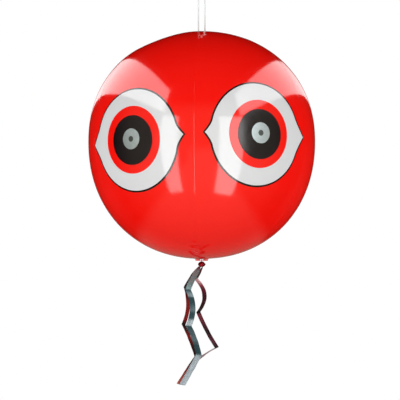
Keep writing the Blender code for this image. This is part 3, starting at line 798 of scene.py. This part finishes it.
def add_cord_knot(material):
    """The cord wound twice round itself, with its two cut ends beside the strand."""
    wind = KNOT_RADIUS - CORD_DIAMETER / 2
    middle = (KNOT_TOP_Z + KNOT_BOTTOM_Z) / 2
    half = (KNOT_TOP_Z - KNOT_BOTTOM_Z) / 2 - CORD_DIAMETER / 2
    aside = CORD_DIAMETER + GAP
    windings, steps, run_in, drift = 2.0, 48, 0.125, 0.0001
    lead = half + 0.0018
    tail = half + CORD_DIAMETER / 2 + KNOT_TAIL - 0.0004
    path = [(KNOT_X + aside, 2 * drift, middle + tail), (KNOT_X + aside, drift, middle + lead)]
    for k in range(steps + 1):
        share = k / steps
        turn = 2 * pi * windings * share
        swell = wind + (aside - wind) * max(0.0, 1 - min(share, 1 - share) / run_in)
        up = middle + half * (1 - 2 * share)
        path.append((KNOT_X + swell * cos(turn), swell * sin(turn), up))
    path += [(KNOT_X + aside, -drift, middle - lead), (KNOT_X + aside, -2 * drift, middle - tail)]
    build = sweep(smooth_route([Vector(point) for point in path], 2), twisted, 18)
    bow, overlap = 0.00001, 0.0004
    core = [(KNOT_X, 0, KNOT_TOP_Z), (KNOT_X, bow, middle), (KNOT_X, 0, KNOT_BOTTOM_Z)]
    sweep(core, lambda run, turn: wind - CORD_DIAMETER / 2 + overlap, 12, build)
    return add_piece("wound_knot", build, "cord_loop", [material], ["cord_knot"])


def add_cord(material):
    route = smooth_route([Vector((across, 0, up)) for across, up in CORD_ROUTE], 10)
    cord = add_piece("twisted_cord", sweep(route, twisted, 18), "cord_loop", [material],
                     ["hanging_cord"])


def degrees_apart(first, second):
    return abs((first - second + 180) % 360 - 180)


def slack(azimuth, latitude):
    """How far the film lies in where it is slack: most in the middle, and nothing past its reach."""
    offs = (degrees_apart(azimuth, SLACK_MIDDLE[0]), abs(latitude - SLACK_MIDDLE[1]))
    depth = SLACK_DEPTH
    for off, reach in zip(offs, SLACK_REACH):
        depth *= (1 + cos(pi * min(1.0, off / reach))) / 2
    return depth


def gore_rows(index):
    """Outer points of a gore, row by row up the ball, with its welds and the puckers round the poles."""
    rows_up, steps_across, halves_to_weld = 96, 11, 5
    middle = FRONT_SEAM + 360 / GORES * (index + 0.5)
    half = pi / GORES
    rows = []
    for level in range(rows_up + 1):
        share = 2 * level / rows_up - 1
        pole = degrees(atan2(BALL_TOP if share > 0 else BALL_BOTTOM, POLE_HOLE_RADIUS))
        latitude = pole * share
        place, _ = on_ball(0, latitude)
        out = hypot(place.x, place.y)
        squeeze = min(1.0, half * out / (halves_to_weld * WELD[-1][0]))
        line = [(half - distance * squeeze / out, height * squeeze) for distance, height in WELD]
        inner = line[-1][0]
        line += [(inner * (1 - k / steps_across), 0.0) for k in range(1, steps_across + 1)]
        columns = [(-turn, height) for turn, height in line] + line[-2::-1]
        depth = PUCKER_HEIGHT * exp(-(out - POLE_HOLE_RADIUS) / PUCKER_REACH)
        depth *= min(1.0, out / PUCKER_START)
        row = []
        for turn, height in columns:
            ripple = depth * (cos(2 * pi * PUCKERS * turn / (2 * half)) - 1) / 2
            azimuth = middle + degrees(turn)
            row.append(on_ball(azimuth, latitude, height + ripple - slack(azimuth, latitude)))
        rows.append(row)
    return rows


def add_gores(material):
    pieces = []
    for index in range(GORES):
        build = shell(gore_rows(index), FILM)
        pieces.append(add_piece(f"film_gore_{index + 1}", build, "balloon", [material],
                                [f"gore_{index + 1}"]))
    return pieces


def cut_valve_hole(gore, place):
    """Cuts the film where the valve's stem passes."""
    radius, depth = STEM_RADIUS + VALVE_HOLE_CLEAR, 0.004
    build = turned([(0, -depth), (radius, -depth), (radius, depth), (0, depth)])
    bmesh.ops.transform(build, matrix=place, verts=build.verts)
    bmesh.ops.recalc_face_normals(build, faces=build.faces)
    cutter = mesh_object("valve_hole", build, [])
    change = gore.modifiers.new("valve_hole", "BOOLEAN")
    change.operation = "DIFFERENCE"
    change.solver = "EXACT"
    change.object = cutter
    bpy.context.view_layer.update()
    cut = bpy.data.meshes.new_from_object(gore.evaluated_get(bpy.context.evaluated_depsgraph_get()))
    gore.modifiers.remove(change)
    gore.data = cut
    bpy.data.objects.remove(cutter)


def beside(middle, index, distance, around, offset):
    """A point that far along the ball from an eye's middle. Around is 0 towards the seam between the pair."""
    inward = 1 if index % 2 == 0 else -1
    azimuth, rise = radians(FRONT_SEAM + middle[0]), radians(middle[1])
    towards = Vector((cos(rise) * sin(azimuth), -cos(rise) * cos(azimuth), sin(rise)))
    side = Vector((0, 0, 1)).cross(towards).normalized()
    spread = distance / BALL_RADIUS
    way = cos(around) * inward * side + sin(around) * towards.cross(side)
    way = cos(spread) * towards + sin(spread) * way
    return on_ball(degrees(atan2(way.x, -way.y)), degrees(asin(way.z)), offset)


def eye_outline(around):
    """How far the middle of an eye's outline lies from the eye's middle."""
    reach = EYE_RADIUS
    for corner, extra, spread, power in EYE_TIPS:
        off = degrees_apart(degrees(around), corner)
        if off < spread:
            reach += extra * (1 - off / spread) ** power
    return reach


def eye_line(around):
    """Width of the outline, measured away from the pupil: a little heavier below."""
    heavier, widest, step = 0.08, 1.6, 0.01
    width = EYE_LINE * (1 - heavier * sin(around))
    slope = (eye_outline(around + step) - eye_outline(around - step)) / (2 * step * eye_outline(around))
    return width * min(widest, hypot(1, slope))


def add_eye_prints(materials):
    """White fields and their dark outlines round each pupil."""
    white_steps = 7
    for index in range(len(EYES)):
        rows = []
        for level in range(white_steps + 2):
            row = []
            for around in full_turn(180):
                inner = eye_outline(around) - eye_line(around) / 2
                reach = EYE_WHITE_START + (inner - EYE_WHITE_START) * level / white_steps
                if level > white_steps:
                    reach = inner + eye_line(around)
                around += radians(EYE_TILTS[index])
                row.append(beside(EYES[index], index, reach, around, PRINT_FACE))
            rows.append(row)
        build = shell(rows, PRINT_FACE - PRINT_FOOT, wrap=True, finishes=[0] * white_steps + [1])
        add_piece(f"eye_print_{index + 1}", build, "balloon", materials)


def add_pupils(materials):
    """Round foils: a small dot, a silver ring and a black ring."""
    rings, finishes = [0.0], []
    edges = [0.0, PUPIL_DOT_RADIUS, PUPIL_SILVER_RADIUS, PUPIL_RADIUS]
    for finish, count in enumerate((2, 3, 5)):
        inner, outer = edges[finish:finish + 2]
        rings += [inner + (outer - inner) * k / count for k in range(1, count + 1)]
        finishes += [finish] * count
    for index, (turn, latitude) in enumerate(PUPILS):
        rows = []
        for reach in rings:
            share = min(1.0, (PUPIL_RADIUS - reach) / (PUPIL_RADIUS - PUPIL_SILVER_RADIUS))
            middle = (turn, latitude + degrees(PUPIL_SILVER_RISE / BALL_RADIUS) * share)
            rows.append([beside(middle, index, reach, way, PUPIL_FACE) for way in full_turn(96)])
        build = shell(rows, PUPIL_FACE - PUPIL_FOOT, wrap=True, finishes=finishes)
        add_piece(f"pupil_foil_{index + 1}", build, "balloon", materials,
                  [f"pupil_{index + 1}"])


def add_end_cap(name, node, radius, top, material):
    """A welded patch over a pole: it follows the ball, with a raised rim and radial gathers."""
    rings, gathers, rim_place, rim_width, skin = 9, 12, 0.86, 0.07, 0.7
    pole, way = (TOP_POLE_Z, 1) if top else (BOTTOM_POLE_Z, -1)
    rows = []
    for level in range(rings + 1):
        out = radius * level / rings
        rim = CAP_RIM_HEIGHT * exp(-((level / rings - rim_place) / rim_width) ** 2)
        row = []
        for turn in full_turn(72):
            gather = CAP_GATHER_HEIGHT * sin(gathers * turn) * sin(pi * level / rings) ** 2
            up = GAP + CAP_THICKNESS - height_over_pole(out, top) + rim + gather
            if level == rings:
                up -= CAP_THICKNESS * (1 - skin)
            row.append((Vector((out * cos(turn), out * sin(turn), pole + way * up)), Vector((0, 0, way))))
        rows.append(row)
    build = shell(rows, CAP_THICKNESS * skin, wrap=True)
    add_piece(name, build, "balloon", [material], [node])


def arch(width, opening, clear, bridge, corner):
    """Outline of an arched tab that stands on its two feet, with rounded shoulders and window."""
    half, total = width / 2, clear + bridge
    steps = 8
    shoulder, window = [], []
    inside = min(opening / 3, clear * 0.8)
    for k in range(steps + 1):
        turn = pi / 2 * k / steps
        shoulder.append((half - corner * (1 - cos(turn)), total - corner * (1 - sin(turn))))
        window.append((opening / 2 - inside * (1 - sin(turn)), clear - inside * (1 - cos(turn))))
    right = [*window, (opening / 2, 0), (half, 0), *shoulder]
    return [*right, *[(-across, up) for across, up in reversed(right)]]


def add_tabs(material):
    """The hanging tab across the cord, and the tail tab under the ball."""
    foot = TOP_POLE_Z + GAP + CAP_THICKNESS + GAP
    clear = CORD_BOTTOM_Z + CORD_DIAMETER / 2 + GAP - foot
    outline = arch(HANGING_TAB_WIDTH, HANGING_TAB_OPENING, clear, HANGING_TAB_BRIDGE, HANGING_TAB_CORNER)
    turn = Matrix(((0, 0, 1, 0), (1, 0, 0, 0), (0, 1, 0, 0), (0, 0, 0, 1)))
    add_piece("hanging_loop_tab", plate(outline, HANGING_TAB_THICKNESS, bevel=0.0003), "balloon",
              [material], ["hanging_tab"], Matrix.Translation((0, 0, foot)) @ turn)
    foot = BOTTOM_POLE_Z - GAP - CAP_THICKNESS - GAP
    clear = foot - TAIL_PIVOT_Z - TAIL_TAB_BAR / 2
    outline = arch(TAIL_TAB_WIDTH, TAIL_TAB_OPENING, clear, TAIL_TAB_BAR, TAIL_TAB_CORNER)
    turn = Matrix(((1, 0, 0, 0), (0, 0, 1, 0), (0, -1, 0, 0), (0, 0, 0, 1)))
    add_piece("tail_loop_tab", plate(outline, TAIL_TAB_THICKNESS, bevel=0.0002), "balloon",
              [material], ["tail_tab"], Matrix.Translation((0, 0, foot)) @ turn)


def strand_across(strand):
    turn = radians(strand["turn"])
    return Vector((cos(turn), sin(turn), 0))


def strand_stations(strand):
    """Points down the middle of a strand: straight or bowed from crease to crease."""
    start = Vector((strand["start"][0], strand["start"][2]))
    stations = [start]
    for across, below, bow in strand["creases"]:
        end = Vector((across, below))
        aside = Vector(((end - start).y, -(end - start).x)).normalized()
        for k in range(1, STRAND_STEPS + 1):
            share = k / STRAND_STEPS
            stations.append(start.lerp(end, share) + aside * 4 * bow * share * (1 - share))
        start = end
    turn = radians(strand["turn"])
    depth = -cos(turn) / sin(turn)
    first = strand["start"]
    return [Vector((p.x, first[1] + depth * (p.x - first[0]) + strand["lean"] * (p.y - first[2]),
                    BOTTOM_POLE_Z - p.y)) for p in stations]


def add_stub(build, strand, middle):
    """The gathered foil that comes out of the knot and ends just above a strand, clear of its swing."""
    clear, reach, tip_width, thickness = 0.00045, 0.0018, 0.5, 0.0008
    root_place, root_rise, dent, steps = 0.2, 0.0030, 0.6, 4
    width = strand_across(strand)
    top, below = [place - Vector((0, 0, middle)) for place in strand_stations(strand)[:2]]
    along = (below - top).normalized()
    normal = width.cross(along).normalized()
    tip = top - along * clear
    bend = tip - along * reach
    root = Vector((tip.x * root_place, tip.y * root_place, tip.z + root_rise))
    rings = []
    for k in range(steps + 1):
        share = k / steps
        place = curve(root, bend, tip, share)
        half = STRAND_NECK / 2 * (1 - (1 - tip_width) * share)
        thick = thickness - (thickness - STRAND_THICKNESS / 2) * share
        rings.append([build.verts.new(place + width * half * a + normal * thick * b)
                      for a, b in ((-1, -1), (0, -dent), (1, -1), (1, 1), (0, dent), (-1, 1))])
    bridge(build, rings)
    build.faces.new(rings[0])
    build.faces.new(rings[-1])


def add_tail_knot(material):
    """Foil pulled into a pleated lump, and its loop over the tab."""
    middle = BOTTOM_POLE_Z - TAIL_KNOT_DROP
    rings, twist, lumps, lump_height, calm_below = 28, 0.9, 2.2, 0.12, 0.5
    waist_depth, waist_place, waist_width = 0.10, 0.7, 0.16
    build = bmesh.new()
    loops = []
    for level in range(rings + 1):
        rise = pi * (level / rings - 0.5)
        waist = 1 - waist_depth * exp(-((rise - waist_place) / waist_width) ** 2)
        up = TAIL_KNOT_HEIGHT / 2 * sin(rise) * (0.98 if rise > 0 else 0.92)
        loop = []
        for turn in full_turn(60):
            fold = sum(height * cos(count * (turn + twist * rise) + shift)
                       for height, count, shift in TAIL_KNOT_PLEATS)
            fold += lump_height * noise.noise([lumps * way for way in (cos(turn), sin(turn), rise)])
            fold *= 1 + calm_below * min(0, sin(rise))
            out = TAIL_KNOT_RADIUS * cos(rise) * waist * (1.0 + fold * cos(rise))
            loop.append(build.verts.new((out * cos(turn), out * sin(turn), up)))
        loops.append(loop)
    bridge(build, loops)
    pivot_up = TAIL_PIVOT_Z - middle
    steps, strands, lay, groove = 12, 3, 9000, 0.08
    path = [(0, TAIL_LOOP_BEND * cos(turn), pivot_up + TAIL_LOOP_BEND * sin(turn))
            for turn in (pi * (1 - k / steps) for k in range(steps + 1))]
    feet = [(0, side * TAIL_LOOP_BEND, TAIL_KNOT_HEIGHT / 2 * 0.6) for side in (-1, 1)]
    sweep([feet[0], *path, feet[1]], lambda run, turn: TAIL_LOOP_WIRE / 2 * (
        1 - groove * cos(strands * turn - lay * run)), 12, build)
    for strand in STRANDS.values():
        add_stub(build, strand, middle)
    add_piece("foil_knot", build, "tail", [material], ["tail_knot"],
              Matrix.Translation((0, 0, middle)), 50)


def add_strand(name, material):
    """A creased ribbon of foil, a little curled across its width and crumpled between the creases."""
    strand = STRANDS[name]
    across, crumples_along, crumples_across, flat_share = 8, 90, 1.6, 0.4
    width = strand_across(strand)
    stations = strand_stations(strand)
    legs = [after - before for before, after in zip(stations, stations[1:])]
    rows = []
    run = 0.0
    for i, place in enumerate(stations):
        along = legs[max(i - 1, 0)].normalized() + legs[min(i, len(legs) - 1)].normalized()
        run += legs[i - 1].length if i else 0.0
        normal = width.cross(along.normalized()).normalized()
        share = min(1.0, run / STRAND_NECK_LENGTH)
        half = (STRAND_NECK + (STRAND_WIDTH - STRAND_NECK) * sin(share * pi / 2)) / 2
        calm = sin(pi * (i % STRAND_STEPS) / STRAND_STEPS)
        row = []
        for k in range(across + 1):
            aside = 2 * k / across - 1
            spot = Vector((run * crumples_along, aside * crumples_across, strand["turn"]))
            crumple = STRAND_CRUMPLE * noise.noise(spot)
            curl = STRAND_CURL * (aside**2 - flat_share) * calm
            raised = (crumple * calm + curl) * share
            row.append((place + width * half * aside + normal * (raised + STRAND_THICKNESS / 2), normal))
        rows.append(row)
    piece = add_piece(f"{name}_ribbon", shell(rows, STRAND_THICKNESS), name.replace("foil_", ""),
                      [material], [name], sharp_angle=28)


def valve_place():
    """The valve's own axes in the whole model: Z out of the ball, X up the ball's side."""
    place, out = on_ball(FRONT_SEAM + VALVE_TURN, VALVE_LATITUDE)
    across = out.cross(Vector((0, 0, 1))).normalized()
    turn = Matrix((across.cross(out), across, out)).transposed().to_4x4()
    return Matrix.Translation(place) @ turn


def add_tongue(build, up):
    """The plug's tongue, a bar out of the side of its head."""
    root = PLUG_HEAD_RADIUS * PLUG_TONGUE_ROOT
    length = PLUG_TONGUE_REACH + PLUG_TONGUE_THICKNESS / 2 - root
    made = bmesh.ops.create_cube(build, size=1.0)["verts"]
    size = Matrix.Diagonal((length, PLUG_TONGUE_WIDTH, PLUG_TONGUE_THICKNESS, 1))
    centre = Matrix.Translation((root + length / 2, 0, up))
    bmesh.ops.transform(build, matrix=centre @ size, verts=made)
    corners = {edge for corner in made for edge in corner.link_edges}
    bmesh.ops.bevel(build, geom=list(corners), offset=PLUG_TONGUE_EDGE, segments=3, profile=0.5,
                    affect="EDGES")


def add_valve(material, place):
    """Welded flange, the stem that pushes in, its plug on a tongue and the check flap inside."""
    drop = FLANGE_RADIUS**2 / 2 / BALL_RADIUS
    inner = STEM_RADIUS + GAP
    flange = [(inner, GAP), (FLANGE_RADIUS / 2, GAP - drop / 4), (FLANGE_RADIUS, GAP - drop),
              (FLANGE_RADIUS, GAP + FLANGE_THICKNESS * FLANGE_RIM_SHARE - drop),
              (FLANGE_RADIUS * FLANGE_RIM_START, FLANGE_TOP - drop * FLANGE_RIM_START**2),
              (FLANGE_RADIUS / 2, FLANGE_TOP - drop / 4), (inner, FLANGE_TOP)]
    lip_bottom = FLANGE_TOP + GAP
    stem = [(STEM_BORE_RADIUS, -STEM_DEPTH), (STEM_RADIUS, -STEM_DEPTH), (STEM_RADIUS, lip_bottom),
            (STEM_LIP_RADIUS, lip_bottom), (STEM_LIP_RADIUS, LIP_TOP), (STEM_BORE_RADIUS, LIP_TOP)]
    under = LIP_TOP + GAP
    top = under + PLUG_HEAD_THICKNESS
    plug = [(0, under - PLUG_NOSE_LENGTH), (PLUG_NOSE_TIP_RADIUS, under - PLUG_NOSE_LENGTH),
            (PLUG_NOSE_RADIUS, under), (PLUG_HEAD_RADIUS, under), (PLUG_HEAD_RADIUS, top), (0, top)]
    top = -STEM_DEPTH - GAP
    radius = STEM_RADIUS - GAP
    flap = [(0, top - FLAP_THICKNESS), (radius, top - FLAP_THICKNESS), (radius, top), (0, top)]
    pieces = [("flange_ring", "balloon", "valve_flange", flange, 0.00015),
              ("stem_tube", "stem", "valve_stem", stem, 0.0003),
              ("plug_cap", "plug", "valve_plug", plug, 0.0004),
              ("flap_disc", "flap", "check_flap", flap, 0.0002)]
    for name, body, node, outline, edge in pieces:
        build = turned(rounded(outline, edge))
        if outline is plug:
            add_tongue(build, under + PLUG_TONGUE_THICKNESS / 2)
        add_piece(name, build, body, [material], [node], place)


def main():
    add_camera()
    cord_yarn = cord_finish()
    hook = add_hook(steel_finish())
    knot = add_cord_knot(cord_yarn)
    add_cord(cord_yarn)

    gores = add_gores(film_finish("red_film_finish", (0.90, 0.005, 0.002), (0.87, 0.0045, 0.0018)))
    white_print = film_finish("white_print_finish", (0.67, 0.67, 0.67), (0.65, 0.65, 0.655))
    black_print = film_finish("black_print_finish", (0.006, 0.003, 0.003), (0.005, 0.003, 0.003))
    add_eye_prints([white_print, black_print])
    dot = silver_foil_finish("dot_foil_finish", (0.10, 0.11, 0.11), (0.07, 0.08, 0.08))
    silver = silver_foil_finish("silver_foil_finish", (0.46, 0.53, 0.57), (0.40, 0.46, 0.50))
    add_pupils([dot, silver, black_foil_finish()])

    caps = cap_finish()
    add_end_cap("top_patch", "top_end_cap", TOP_CAP_RADIUS, True, caps)
    add_end_cap("bottom_patch", "bottom_end_cap", BOTTOM_CAP_RADIUS, False, caps)
    add_tabs(caps)

    add_tail_knot(knot_finish())
    for name, strand in STRANDS.items():
        add_strand(name, foil_finish(f"{name}_finish", strand["colour_and_painted_light_bands"]))

    place = valve_place()
    valve_gore = round((VALVE_TURN - 180 / GORES) % 360 / (360 / GORES))
    cut_valve_hole(gores[valve_gore], place)
    add_valve(plastic_finish(), place)

    add_boxes()
    add_strips()
    add_fills()
    set_world()
    add_floor()
    add_drapes()
    bpy.context.scene.view_settings.view_transform = "Standard"


main()
